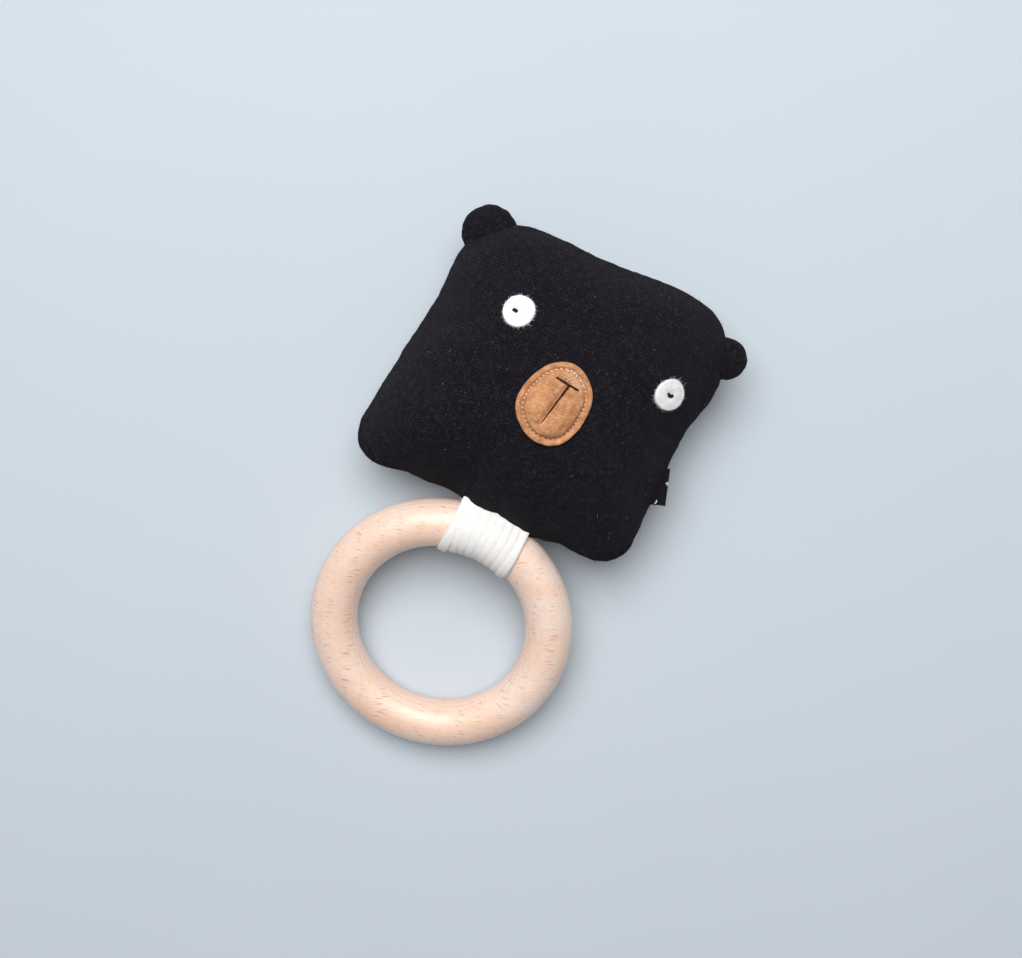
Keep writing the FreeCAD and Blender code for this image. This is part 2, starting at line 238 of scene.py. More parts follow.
class Graph:
    """A material and short ways of adding nodes to it."""

    def __init__(self, name, **inputs):
        self.material = bpy.data.materials.new(name)
        self.material.use_nodes = True
        self.nodes = self.material.node_tree.nodes
        self.links = self.material.node_tree.links
        self.shader = self.nodes["Principled BSDF"]
        for key, value in inputs.items():
            self.shader.inputs[key.replace("_", " ")].default_value = value

    def add(self, kind, output=0, props=None, **inputs):
        node = self.nodes.new(kind)
        for key, value in (props or {}).items():
            setattr(node, key, value)
        for key, value in inputs.items():
            socket = node.inputs[int(key[1:])] if key[1:].isdigit() else node.inputs[key]
            self.feed(socket, value)
        return node.outputs[output]

    def feed(self, socket, value):
        if isinstance(value, bpy.types.NodeSocket):
            self.links.new(value, socket)
        else:
            socket.default_value = value

    def math(self, operation, a, b=0.0, c=0.0):
        return self.add("ShaderNodeMath", props={"operation": operation}, i0=a, i1=b, i2=c)

    def times(self, a, b):
        return self.math("MULTIPLY", a, b)

    def place(self, scale=(1, 1, 1), turn=(0, 0, 0)):
        """The object's own coordinates, in metres, turned and scaled."""
        base = self.add("ShaderNodeTexCoord").node.outputs["Object"]
        turned = self.add("ShaderNodeMapping", Vector=base, Rotation=turn)
        return self.add("ShaderNodeMapping", Vector=turned, Scale=scale)

    def noise(self, vector, scale, detail=2.0, roughness=0.5, distortion=0.0):
        return self.add(
            "ShaderNodeTexNoise", Vector=vector, Scale=scale, Detail=detail,
            Roughness=roughness, Distortion=distortion,
        )

    def ramp(self, value, *stops):
        """Colours or greys at stops from 0 to 1."""
        out = self.add("ShaderNodeValToRGB", Fac=value)
        ramp = out.node.color_ramp
        while len(ramp.elements) < len(stops):
            ramp.elements.new(0.5)
        for element, (at, colour) in zip(ramp.elements, stops):
            element.position = at
            colour = (colour,) * 3 if isinstance(colour, float) else colour
            element.color = (*colour, 1)
        return out

    def mix(self, factor, a, b):
        out = self.add("ShaderNodeMix", output=2, props={"data_type": "RGBA"})
        node = out.node
        for socket, value in ((node.inputs[0], factor), (node.inputs[6], a), (node.inputs[7], b)):
            if isinstance(value, tuple):
                value = (*value, 1)
            self.feed(socket, value)
        return out

    def bump(self, height, distance, strength):
        return self.add("ShaderNodeBump", Height=height, Distance=distance, Strength=strength)

    def finish(self, colour, roughness, normal):
        for key, value in (("Base Color", colour), ("Roughness", roughness), ("Normal", normal)):
            self.feed(self.shader.inputs[key], value)
        return self.material


def knit_material():
    """Fine black jersey: slanted loops in columns, a brushed nap, and pale specks on the nap's tips that are
    partly paler fibres and partly a painted highlight.
    """
    g = Graph("knit_black", Sheen_Weight=0.03, Sheen_Roughness=0.5, Specular_IOR_Level=0.05)
    g.shader.inputs["Sheen Tint"].default_value = (1.0, 0.92, 1.0, 1)
    flat = g.add("ShaderNodeUVMap", props={"uv_map": "cloth"})
    wander = g.noise(flat, 220, 2)
    split = g.add("ShaderNodeSeparateXYZ", Vector=flat)
    across = g.math("MULTIPLY_ADD", split, 1 / KNIT_WALE, g.times(wander, 0.9))
    along = g.times(split.node.outputs[1], 1 / KNIT_COURSE)
    share = g.math("FRACT", across)
    leg = g.math("ABSOLUTE", g.math("SUBTRACT", share, 0.5))
    row = g.math("FRACT", g.math("ADD", g.math("MULTIPLY_ADD", leg, 1.3, along), wander))
    strand = g.math("SINE", g.times(g.math("FRACT", g.times(share, 2)), pi))
    loop = g.math("SINE", g.times(row, pi))
    loops = g.times(g.math("POWER", strand, 0.7), g.math("MULTIPLY_ADD", loop, 0.6, 0.4))
    place = g.place()
    nap = g.noise(place, 2300, 3, 0.75)
    blotches = g.noise(place, 700, 3, 0.65)
    cloudy = g.noise(place, 120, 3, 0.6)
    colour = g.ramp(loops, (0.12, (0.0013, 0.0012, 0.0018)), (1.0, (0.0135, 0.0125, 0.0170)))
    # Painted highlight: pale specks on the nap's tips in patches, partly paler fibres.
    tips = g.ramp(nap, (0.48, 0.0), (0.70, 1.0))
    lit = g.times(tips, g.ramp(blotches, (0.42, 0.12), (0.62, 1.0)))
    colour = g.mix(lit, colour, (0.050, 0.047, 0.062))
    colour = g.mix(g.ramp(cloudy, (0.38, 0.0), (0.72, 0.45)), colour, (0.0145, 0.0125, 0.0185))
    rough = g.ramp(nap, (0.2, 0.80), (0.9, 0.98))
    height = g.math("MULTIPLY_ADD", nap, 1.1, loops)
    return g.finish(colour, rough, g.bump(height, 0.2 * MM, 0.9))


def felt_material(name, low, high, deep, sheen):
    """Pressed felt: matted fibres in every direction, cloudy in tone."""
    g = Graph(name, Sheen_Weight=sheen, Sheen_Roughness=0.6, Specular_IOR_Level=0.15)
    place = g.place()
    streaks = g.noise(g.place(scale=(1, 0.35, 1), turn=(0, 0, 0.6)), 2400, 4, 0.75, 1.2)
    cross = g.noise(g.place(scale=(0.35, 1, 1), turn=(0, 0, -0.3)), 2000, 4, 0.75, 1.2)
    matted = g.math("MAXIMUM", streaks, cross)
    cloudy = g.noise(place, 420, 4, 0.65)
    pits = g.noise(place, 1500, 4, 0.7)
    colour = g.mix(g.ramp(cloudy, (0.34, 0.0), (0.66, 1.0)), low, high)
    colour = g.mix(g.ramp(matted, (0.44, 0.6), (0.6, 0.0)), colour, deep)
    colour = g.mix(g.ramp(pits, (0.34, 0.55), (0.46, 0.0)), colour, deep)
    rough = g.ramp(matted, (0.3, 1.0), (0.8, 0.82))
    return g.finish(colour, rough, g.bump(matted, 0.14 * MM, 0.7))


def thread_material(name, low, high, gloss=0.7):
    """Plied sewing thread with a little colour variation."""
    g = Graph(name, Sheen_Weight=0.06, Specular_IOR_Level=0.12)
    place = g.place()
    plies = g.noise(place, 3200, 2, 0.6, 0.8)
    tone = g.noise(place, 500, 2)
    colour = g.mix(g.ramp(g.mix(0.5, plies, tone), (0.35, 0.0), (0.65, 1.0)), low, high)
    return g.finish(colour, g.ramp(plies, (0.2, gloss), (0.9, gloss + 0.2)), g.bump(plies, 0.06 * MM, 0.6))


RING_TILT = -asin(RING_AXIS.y)
MID_LAYER = RING_CENTRE.z * cos(RING_TILT) - RING_CENTRE.y * sin(RING_TILT)


def beech_material():
    """Waxed beech: pale rose, growth lines on its steep sides and short dark flecks on the rest."""
    g = Graph("beech", Coat_Weight=1.0, Coat_Roughness=0.42, Specular_IOR_Level=0.5)
    turn = (-RING_TILT, 0, radians(-19.0))
    drift = g.noise(g.place(turn=turn, scale=(0.35, 1, 1)), 70, 2, 0.5)
    apart = g.add("ShaderNodeSeparateXYZ", Vector=g.place(turn=turn)).node
    depth = g.math("MULTIPLY_ADD", apart.outputs[1], 0.10, apart.outputs[2])
    rings = g.math("FRACT", g.math("MULTIPLY_ADD", depth, 820, g.times(drift, 2.2)))
    fibre = g.noise(g.place(scale=(0.035, 1, 1), turn=turn), 2600, 5, 0.7)
    broad = g.noise(g.place(scale=(0.3, 1, 1), turn=turn), 60, 3, 0.55)
    colour = g.mix(g.ramp(broad, (0.32, 0.0), (0.68, 1.0)), (0.950, 0.655, 0.500), (0.975, 0.805, 0.725))
    level = g.math("DIVIDE", g.math("ABSOLUTE", g.math("SUBTRACT", apart.outputs[2], MID_LAYER)), WOOD_R)
    steep = g.ramp(level, (0.45, 1.0), (0.80, 0.0))
    flecked = g.ramp(level, (0.28, 0.12), (0.62, 1.0))
    lines = g.ramp(rings, (0.66, 0.0), (0.95, 0.45), (1.0, 0.0))
    colour = g.mix(g.times(lines, steep), colour, (0.66, 0.40, 0.29))
    colour = g.mix(g.ramp(fibre, (0.36, 0.32), (0.58, 0.0)), colour, (0.64, 0.41, 0.29))

    for stretch, scale, width, chosen, tint, weight in (
        (0.18, 2700, 0.20, 0.34, (0.58, 0.32, 0.20), 0.50),
        (0.10, 1900, 0.17, 0.34, (0.44, 0.20, 0.12), 0.75),
        (0.075, 1250, 0.13, 0.24, (0.34, 0.155, 0.090), 0.85),
    ):
        cell = g.add(
            "ShaderNodeTexVoronoi", props={"voronoi_dimensions": "2D"},
            Vector=g.place(scale=(stretch, 1, 1), turn=turn), Scale=scale, Randomness=1.0,
        )
        shape = g.ramp(cell, (width * 0.3, weight), (width, 0.0))
        lucky = g.add("ShaderNodeSeparateXYZ", Vector=cell.node.outputs["Color"])
        kept = g.ramp(lucky, (chosen, 1.0), (chosen + 0.02, 0.0))
        colour = g.mix(g.times(g.times(shape, kept), flecked), colour, tint)
    rough = g.ramp(fibre, (0.3, 0.52), (0.8, 0.40))
    return g.finish(colour, rough, g.bump(fibre, 0.02 * MM, 0.5))


def cotton_material():
    """Soft natural cotton cord: fine fibres along the strands, with painted shade greying the low parts of the
    fibres.
    """
    g = Graph("cord_natural", Sheen_Weight=0.25, Sheen_Roughness=0.6, Specular_IOR_Level=0.2)
    place = g.place()
    fibre = g.noise(g.place(scale=(1, 0.4, 0.4)), 3600, 4, 0.75, 0.8)
    tone = g.noise(place, 380, 3, 0.6)
    colour = g.mix(g.ramp(tone, (0.3, 0.0), (0.7, 1.0)), (0.88, 0.865, 0.845), (0.94, 0.93, 0.92))
    # Painted shade: grey where the fibre bump is low.
    colour = g.mix(g.ramp(fibre, (0.38, 0.40), (0.56, 0.0)), colour, (0.74, 0.715, 0.71))
    return g.finish(colour, g.ramp(fibre, (0.2, 0.95), (0.9, 0.8)), g.bump(fibre, 0.12 * MM, 0.8))


def ribbon_material():
    """Tight black ribbon: warp and weft cross at a quarter of a millimetre."""
    g = Graph("label_ribbon", Sheen_Weight=0.03, Specular_IOR_Level=0.15)
    split = g.add("ShaderNodeSeparateXYZ", Vector=g.place(turn=(0, 0, radians(-20)))).node
    warp = g.math("SINE", g.times(split.outputs[0], 2 * pi / (0.30 * MM)))
    weft = g.math("SINE", g.times(split.outputs[1], 2 * pi / (0.24 * MM)))
    weave = g.times(warp, weft)
    speck = g.noise(g.place(), 1500, 3, 0.7)
    colour = g.ramp(weave, (0.0, (0.003, 0.003, 0.004)), (1.0, (0.010, 0.010, 0.012)))
    colour = g.mix(g.ramp(speck, (0.62, 0.0), (0.75, 0.4)), colour, (0.04, 0.04, 0.045))
    return g.finish(colour, g.ramp(speck, (0.2, 0.55), (0.8, 0.8)), g.bump(weave, 0.05 * MM, 0.7))


def mottled_material(name, tone, colours, wear, dull, bump, stretch=(1, 1, 1), **inputs):
    """A plain material: one noise mottles its colour, and another roughens it and its surface."""
    g = Graph(name, **inputs)
    colour = g.ramp(g.noise(g.place(), *tone), (0.3, colours[0]), (0.7, colours[1]))
    blotches = g.noise(g.place(scale=stretch), *wear)
    return g.finish(colour, g.ramp(blotches, *dull), g.bump(blotches, *bump))


MATERIALS = {
    "knit_black": knit_material(),
    "felt_white": felt_material(
        "felt_white", (0.86, 0.86, 0.87), (0.94, 0.94, 0.95), (0.66, 0.66, 0.69), 0.15
    ),
    "felt_caramel": felt_material(
        "felt_caramel", (0.47, 0.206, 0.088), (0.80, 0.415, 0.215), (0.30, 0.116, 0.044), 0.10
    ),
    "thread_cream": thread_material("thread_cream", (0.56, 0.385, 0.235), (0.82, 0.63, 0.44), 0.6),
    "thread_black": thread_material("thread_black", (0.007, 0.005, 0.005), (0.024, 0.018, 0.017)),
    "thread_white": thread_material("thread_white", (0.62, 0.62, 0.62), (0.9, 0.9, 0.9)),
    "label_ribbon": ribbon_material(),
    "cord_natural": cotton_material(),
    "beech": beech_material(),
    "fibre": mottled_material(
        "fibre", (700, 6, 0.8, 1.5), ((0.62, 0.62, 0.61), (0.82, 0.82, 0.81)),
        (700, 6, 0.8, 1.5), [(0.2, 1.0), (0.8, 0.85)], (0.5 * MM, 0.8),
        Sheen_Weight=0.4, Specular_IOR_Level=0.15,
    ),
    "capsule_plastic": mottled_material(
        "capsule_plastic", (260, 4, 0.6), ((0.70, 0.70, 0.68), (0.80, 0.80, 0.78)),
        (1800, 3, 0.7), [(0.3, 0.38), (0.7, 0.55)], (0.02 * MM, 0.4),
        stretch=(1, 0.1, 1), Specular_IOR_Level=0.4,
    ),
    "shot_steel": mottled_material(
        "shot_steel", (2200, 4, 0.7), ((0.42, 0.42, 0.44), (0.62, 0.62, 0.64)),
        (2200, 4, 0.7), [(0.3, 0.2), (0.7, 0.42)], (0.01 * MM, 0.4), Metallic=1.0,
    ),
}
FLOOR_MATERIAL = mottled_material(
    "floor", (9, 3, 0.5), ((0.556, 0.620, 0.682), (0.568, 0.632, 0.692)),
    (900, 3, 0.6), [(0.3, 0.8), (0.7, 0.9)], (0.02 * MM, 0.3), Specular_IOR_Level=0.2,
)


def dress(obj, slot):
    """Gives a piece its slot's material."""
    obj.data.materials.clear()
    obj.data.materials.append(MATERIALS[slot])
    return obj


def attach(parts, name, slot, body, *nodes):
    """Builds a rigid piece that rides on a body and stands for the CAD nodes named, if any."""
    piece = dress(parts.build(name), slot)
    if nodes:
        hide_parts(*nodes)
    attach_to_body(piece, body)


# ---------------- the cushion's shape


def seam_reach():
    """The seam's distance from the middle at each degree, bridged where the lashing hides it."""
    least, lashed_half, rounds = 30 * MM, 12 * MM, 40
    mesh = NODES["front_panel"].data
    co = coords(mesh)
    ends = np.array([e.vertices[:] for e in mesh.edges])
    rim = co[:, 2] < SEAM_Z + 0.01 * MM
    lashed = (np.abs(co[:, 0] - HINGE.x) < lashed_half) & (co[:, 1] < 0)
    ends = ends[(rim & ~lashed)[ends].all(1)]
    a, b = co[ends[:, 0], :2], co[ends[:, 1], :2]
    degree, far = [], []
    for k in range(360):
        way = np.array((cos(radians(k)), sin(radians(k))))
        side_a, side_b = a @ (-way[1], way[0]), b @ (-way[1], way[0])
        cut = side_a * side_b < 0
        share = (side_a / np.where(cut, side_a - side_b, 1))[:, None]
        hit = ((a + (b - a) * share) @ way)[cut]
        if hit.size and hit.max() > least:
            degree.append(k)
            far.append(hit.max())
    reach = np.interp(np.arange(360), degree, far, period=360)
    open_gap = ~np.isin(np.arange(360), degree)
    for _ in range(rounds):
        wave = np.fft.rfft(reach)
        wave[SEAM_WAVES:] = 0
        smooth = np.fft.irfft(wave, 360)
        reach[open_gap] = smooth[open_gap]
    return smooth


REACH = seam_reach()


def reach_at(angle):
    """The seam's distance at angles in radians."""
    return np.interp(np.degrees(angle) % 360, np.arange(361), np.append(REACH, REACH[0]))


def grid_share():
    """How far out each point of a panel's grid is, from 0 in the middle to 1 at the seam."""
    step = np.abs(np.linspace(-1, 1, GRID + 1))
    return 1 - (1 - np.maximum(step[:, None], step[None, :])) ** ROW_EASE


SHARE = grid_share()


def panel_shape(rise, side):
    """One panel's grid of points and its flat cloth coordinates."""
    step = np.linspace(-1, 1, GRID + 1)
    u, v = np.meshgrid(step, step, indexing="ij")
    angle = np.arctan2(v, u)
    far = reach_at(angle)

    def height(s):
        return rise * (1 - s**3.0) ** 0.86

    # The cloth's length from the middle, in so many steps, for seams at each whole mm from least.
    steps, least, seams = 200, 30, 26
    climb = np.diff(height(np.linspace(0, 1, steps + 1)))[:, None] ** 2
    stretch = np.sqrt((1 / steps * np.linspace(least, least + seams - 1, seams)[None] * MM) ** 2 + climb)
    length = np.vstack([np.zeros(seams), np.cumsum(stretch, 0)])
    column = np.clip(far / MM - least, 0, seams - 1.01)
    row = np.clip(SHARE * steps, 0, steps - 0.01)
    r0, c0 = row.astype(int), column.astype(int)
    fr, fc = row - r0, column - c0
    flat = (length[r0, c0] * (1 - fr) + length[r0 + 1, c0] * fr) * (1 - fc) + (
        length[r0, c0 + 1] * (1 - fr) + length[r0 + 1, c0 + 1] * fr
    ) * fc
    place = [SHARE * far * np.cos(angle), SHARE * far * np.sin(angle), SEAM_Z + side * height(SHARE)]
    return np.stack(place, -1), np.stack([flat * np.cos(angle), flat * np.sin(angle)], -1)


def grid_faces(flip=False):
    faces = []
    for i in range(GRID):
        for j in range(GRID):
            a = i * (GRID + 1) + j
            face = (a, a + GRID + 1, a + GRID + 2, a + 1)
            faces.append(tuple(reversed(face)) if flip else face)
    return faces


def inflate(front, back):
    """Fills the closed cushion with the cloth solver at ten times its size, its seam held."""
    size, steps = 10.0, 21
    count = GRID + 1
    edge = np.zeros((count, count), bool)
    edge[0, :] = edge[-1, :] = edge[:, 0] = edge[:, -1] = True
    edge = edge.ravel()
    number = np.where(edge, np.arange(count * count), 0)
    inner = np.flatnonzero(~edge)
    number[inner] = count * count + np.arange(len(inner))
    verts = np.vstack([front.reshape(-1, 3), back.reshape(-1, 3)[inner]]) * size
    faces = grid_faces() + [tuple(number[i] for i in f) for f in grid_faces(True)]
    obj = new_object("cushion_blank", verts, faces)
    held = obj.vertex_groups.new(name="seam")
    held.add([int(i) for i in np.flatnonzero(edge)], 1.0, "REPLACE")
    cloth = obj.modifiers.new("cloth", "CLOTH")
    settings = cloth.settings
    settings.quality = 6
    settings.mass = 0.25
    settings.tension_stiffness = settings.compression_stiffness = 14
    settings.shear_stiffness = 4
    settings.bending_stiffness = 1.2
    settings.tension_damping = settings.compression_damping = settings.shear_damping = 12
    settings.air_damping = 4
    settings.use_pressure = True
    settings.uniform_pressure_force = 5.0
    settings.shrink_min = -0.025
    settings.vertex_group_mass = "seam"
    settings.pin_stiffness = 1.0
    settings.effector_weights.gravity = 0
    cloth.point_cache.frame_start, cloth.point_cache.frame_end = 1, 40
    scene = bpy.context.scene
    for step in range(1, steps + 1):
        scene.frame_set(step)
    graph = bpy.context.evaluated_depsgraph_get()
    blown = coords(obj.evaluated_get(graph).data) / size
    bpy.data.objects.remove(obj)
    scene.frame_set(1)
    return blown[: count * count].reshape(front.shape), blown[number].reshape(back.shape)


def eased(share):
    """0 to 1 with soft ends."""
    share = np.clip(share, 0, 1)
    return share * share * (3 - 2 * share)


def gathered(place):
    """Small gathers where the panel is pulled into the seam, and a slight roll at it."""
    angle = np.arctan2(place[..., 1], place[..., 0])
    near = eased((SHARE - 0.80) / 0.20)
    ripple = np.zeros_like(angle)
    for i in range(place.shape[0]):
        for j in range(place.shape[1]):
            if near[i, j] > 0:
                a = angle[i, j]
                spot = Vector((cos(a), sin(a), 0.0)) * 17.0
                ripple[i, j] = noise.noise(spot + Vector((0, 0, 3.7))) + 0.7 * noise.noise(spot * 2.3)
    out = place.copy()
    pull = (GATHER * ripple * near + ROLL * eased((SHARE - 0.94) / 0.06)) * MM
    out[..., 0] += np.cos(angle) * pull
    out[..., 1] += np.sin(angle) * pull
    return out


def dented(place, weight, seed):
    """Shallow hollows in the filling."""
    out = place.copy()
    for i in range(place.shape[0]):
        for j in range(place.shape[1]):
            x, y, z = place[i, j] / (15 * MM)
            spot = Vector((x, y, z + seed))
            amount = noise.noise(spot) * 0.55 + noise.noise(spot * 2.1) * 0.22
            out[i, j, 2] += amount * weight[i, j] * MM
    return out


def cushion_panels():
    """The two panels' points, filled, gathered at the seam and flat under the back."""
    front, front_flat = panel_shape(FACE_Z - SEAM_Z - 0.6 * MM, 1)
    back, back_flat = panel_shape(SEAM_Z + BACK_DROP, -1)
    blown_front, blown_back = inflate(front, back)
    for start, blown in ((front, blown_front), (back, blown_back)):
        move = blown - start
        far = np.linalg.norm(move, axis=-1, keepdims=True)
        start += move * (FILL_CAP * np.tanh(far / FILL_CAP) / np.maximum(far, 1e-9))
    inside = eased((1 - SHARE) / 0.25)
    along = (front[..., 0] - HINGE.x) / MM
    bulge = sum(reach * np.exp(-(((along - place) / half) ** 4)) for place, half, reach in BULGES)
    front[..., 1] -= bulge * MM * (front[..., 1] < -15 * MM) * eased((SHARE - 0.62) / 0.3)
    front = gathered(dented(front, inside, 0.0))
    back = gathered(dented(back, -inside, 5.0))
    back[..., 2] = np.maximum(back[..., 2], 0)
    return front, front_flat, back, back_flat


def panel_object(name, place, flat, flip):
    """A panel's mesh, with its edge turned in behind the seam by two narrow bands."""
    count = GRID + 1
    verts, uv = list(place.reshape(-1, 3)), list(flat.reshape(-1, 2))
    faces = grid_faces(flip)
    rim = [i * count for i in range(GRID)] + [GRID * count + j for j in range(GRID)]
    rim += [i * count + GRID for i in range(GRID, 0, -1)] + list(range(GRID, 0, -1))
    outer = rim
    for shrink, lift in ((0.985, 0.05), (0.93, 0.12)):
        inner = list(range(len(verts), len(verts) + len(rim)))
        for i in rim:
            x, y, _ = verts[i]
            verts.append((x * shrink, y * shrink, SEAM_Z + (-1 if flip else 1) * lift * MM))
            uv.append(uv[i] * (2 - shrink))
        for k in range(len(rim)):
            m = (k + 1) % len(rim)
            face = (outer[k], outer[m], inner[m], inner[k])
            faces.append(face if flip else tuple(reversed(face)))
        outer = inner
    return new_object(name, verts, faces, uv=uv)


FRONT, FRONT_FLAT, BACK, BACK_FLAT = cushion_panels()


def make_cushion():
    front = panel_object("cushion_front", FRONT, FRONT_FLAT, False)
    back = panel_object("cushion_back", BACK, BACK_FLAT, True)
    for obj, nodes in ((front, ("front_panel", "filling_front")), (back, ("back_panel", "filling_back"))):
        subdivide(obj)
        dress(obj, "knit_black")
        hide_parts(*nodes)
        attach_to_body(obj, "head")
    return front, back


CUSHION_FRONT, CUSHION_BACK = make_cushion()
FACE = BVHTree.FromPolygons(
    [v.co for v in CUSHION_FRONT.data.vertices], [tuple(p.vertices) for p in CUSHION_FRONT.data.polygons]
)


def over_face(x, y, lift):
    """The point of the front panel over x, y, raised along its normal, and that normal."""
    hit, normal, _, _ = FACE.ray_cast(Vector((x, y, 0.08)), Vector((0, 0, -1)))
    if normal.z < 0:
        normal = -normal
    return hit + normal * lift, normal


def on_face(x, y, lift=0.0):
    return over_face(x, y, lift)[0]


# ---------------- fibres


def any_way(rng):
    return Vector([rng.uniform(-1, 1) for _ in range(3)])


def fibres(parts, spots, length, radius, rng, lean=0.8):
    """Short bent fibres that stand out of a surface at (point, normal) spots."""
    for point, normal in spots:
        way = (normal + any_way(rng) * lean).normalized()
        bend = any_way(rng) * 0.5
        long = length * rng.uniform(0.5, 1.3)
        path = [point - normal * 0.1 * MM]
        for t in (0.33, 0.66, 1.0):
            path.append(point + way * long * t + bend * long * t * t)
        parts.add(*tube(path, lambda i, _: radius * (1, 1, 0.8, 0.45)[i], around=3))


def surface_spots(obj, count, rng, keep=None):
    """Random points of a mesh with their normals."""
    mesh = obj.data
    areas = np.empty(len(mesh.polygons))
    mesh.polygons.foreach_get("area", areas)
    total = np.cumsum(areas)
    spots = []
    while len(spots) < count:
        face = mesh.polygons[int(np.searchsorted(total, rng.random() * total[-1]))]
        corner = [mesh.vertices[i].co for i in face.vertices]
        weights = [rng.random() + 0.01 for _ in corner]
        point = sum((c * w for c, w in zip(corner, weights)), Vector()) / sum(weights)
        if keep is None or keep(point):
            spots.append((point, face.normal.copy()))
    return spots


FELT_SPOTS = [
    (middle(node), reach * MM) for node, reach in (("left_eye", 4.6), ("right_eye", 4.6), ("snout", 10.8))
]
LASHED = (11.5 * MM, 8 * MM)           # the lashing's half width and depth on the cushion
RESTING, SEAM_GAP = 2.5 * MM, 0.6 * MM


def bare(point):
    """True where neither felt, the table, the seam nor the lashing touches the knit."""
    for centre, reach in FELT_SPOTS:
        if hypot(point.x - centre.x, point.y - centre.y) < reach:
            return False
    if abs(point.x - HINGE.x) < LASHED[0] and point.y < HINGE.y + LASHED[1]:
        return False
    return point.z >= RESTING and abs(point.z - SEAM_Z) > SEAM_GAP


def make_nap():
    """A short dark nap on the knit, and a few longer bits of pale lint."""
    rng = random.Random(11)
    for name, slot, counts, length, radius, lean in (
        ("nap_dark", "thread_black", (4200, 1800), 0.65, 0.026, 0.8),
        ("nap_lint", "fibre", (60, 30), 0.8, 0.014, 1.6),
    ):
        parts = Parts()
        for cushion, count in zip((CUSHION_FRONT, CUSHION_BACK), counts):
            fibres(parts, surface_spots(cushion, count, rng, bare), length * MM, radius * MM, rng, lean)
        attach(parts, name, slot, "head")


# ---------------- face


def radius_at(radii, angle):
    """A smooth closed outline through radii at even angles."""
    count = len(radii)
    at = angle / (2 * pi) * count
    k = floor(at)
    t = at - k
    p = [radii[(k + d) % count] for d in (-1, 0, 1, 2)]
    return 0.5 * (
        2 * p[1] + (p[2] - p[0]) * t + (2 * p[0] - 5 * p[1] + 4 * p[2] - p[3]) * t * t
        + (3 * p[1] - p[0] - 3 * p[2] + p[3]) * t**3
    )


def felt_patch(centre, radii, top, around, rings, uneven, seed):
    """A felt shape on the face. top(x, y, share, angle) is its thickness in mm, centre at 0, 0."""
    edge_width, sunk = 0.06, 0.15
    verts, rows = [on_face(centre.x, centre.y, top(0, 0, 0, 0) * MM)], []
    angles = [2 * pi * k / around for k in range(around)]
    for share in [(k / rings) ** 0.9 for k in range(1, rings + 1)]:
        edge = sqrt(max(0.0, 1 - max(0.0, (share - (1 - edge_width)) / edge_width) ** 2))
        rows.append(range(len(verts), len(verts) + around))
        for angle in angles:
            rough = 1 + uneven * noise.noise(Vector((*polar(6, angle), seed)))
            x, y = polar(radius_at(radii, angle) * rough * share, angle)
            thick = top(x, y, share, angle) * (0.45 + 0.55 * edge)
            verts.append(on_face(centre.x + x * MM, centre.y + y * MM, thick * MM))
    skirt = range(len(verts), len(verts) + around)
    rows.append(skirt)
    for angle in angles:
        x, y = polar(radius_at(radii, angle) * 0.985, angle)
        verts.append(on_face(centre.x + x * MM, centre.y + y * MM, -sunk * MM))
    verts.append(on_face(centre.x, centre.y) - Vector((0, 0, sunk * MM)))
    under = [(len(verts) - 1, skirt[(k + 1) % around], skirt[k]) for k in range(around)]
    return verts, dome_faces(rows) + under


def make_eye(side):
    """A white felt disc with a soft furry edge and a dimple under the pupil."""
    centre = middle(side + "_eye")
    pupil = (middle(side + "_pupil") - centre) / MM
    rng = random.Random(3 if side == "left" else 4)
    radii = EYE_RADII[side]

    def top(x, y, share, angle):
        dimple = 0.45 * exp(-((x - pupil.x) ** 2 + (y - pupil.y) ** 2) / 0.9)
        lumps = 0.10 * noise.noise(Vector((x, y, 2.0 if side == "left" else 7.0)) * 0.9)
        return 1.05 - dimple + lumps

    parts = Parts()
    parts.add(*felt_patch(centre, radii, top, around=72, rings=16, uneven=0.024, seed=len(side)))
    spots = []
    for _ in range(150):
        angle = rng.uniform(0, 2 * pi)
        x, y = polar(radius_at(radii, angle) * rng.uniform(0.94, 1.0), angle)
        point, normal = over_face(centre.x + x * MM, centre.y + y * MM, rng.uniform(0.2, 0.8) * MM)
        outward = Vector((*polar(1, angle), 0.1))
        spots.append((point, (outward + normal * 0.3).normalized()))
    fibres(parts, spots, 0.55 * MM, 0.020 * MM, rng, 0.55)
    fibres(parts, spots[:16], 1.4 * MM, 0.008 * MM, rng, 1.1)
    attach(parts, side + "_eye_felt", "felt_white", "head", side + "_eye")


PUPIL_STROKES = {
    "left": (((-0.75, 0.45), (0.05, -0.35)), ((-0.05, -0.35), (0.75, 0.50)), ((-0.3, 0.15), (0.3, 0.15))),
    "right": (((-0.7, -0.05), (0.7, 0.15)), ((-0.55, 0.25), (0.6, -0.15))),
}


def make_pupil(side):
    """Two or three short stitches of black thread pulled into the felt."""
    centre = middle(side + "_pupil")
    parts = Parts()
    for start, end in PUPIL_STROKES[side]:
        path = []
        for k in range(7):
            x, y = between(start, end, k / 6)
            lift = 0.62 + 0.28 * sin(pi * (k / 6))
            path.append(on_face(centre.x + x * MM, centre.y + y * MM, lift * MM))
        parts.add(*thread(path, 0.37 * MM))
    attach(parts, side + "_pupil_thread", "thread_black", "head", side + "_pupil")


SNOUT = middle("snout")
STITCH_INSET = 1.75                    # in mm, as are the two lines from the snout's middle
NOSE = ((-2.5, 5.9), (3.5, 5.3))
MOUTH = ((1.1, 5.4), (-0.9, -5.9))


def line_distance(x, y, line):
    """How far a point is from a line with ends."""
    (x0, y0), (x1, y1) = line
    dx, dy = x1 - x0, y1 - y0
    t = max(0.0, min(1.0, ((x - x0) * dx + (y - y0) * dy) / (dx * dx + dy * dy)))
    return hypot(x - x0 - dx * t, y - y0 - dy * t)


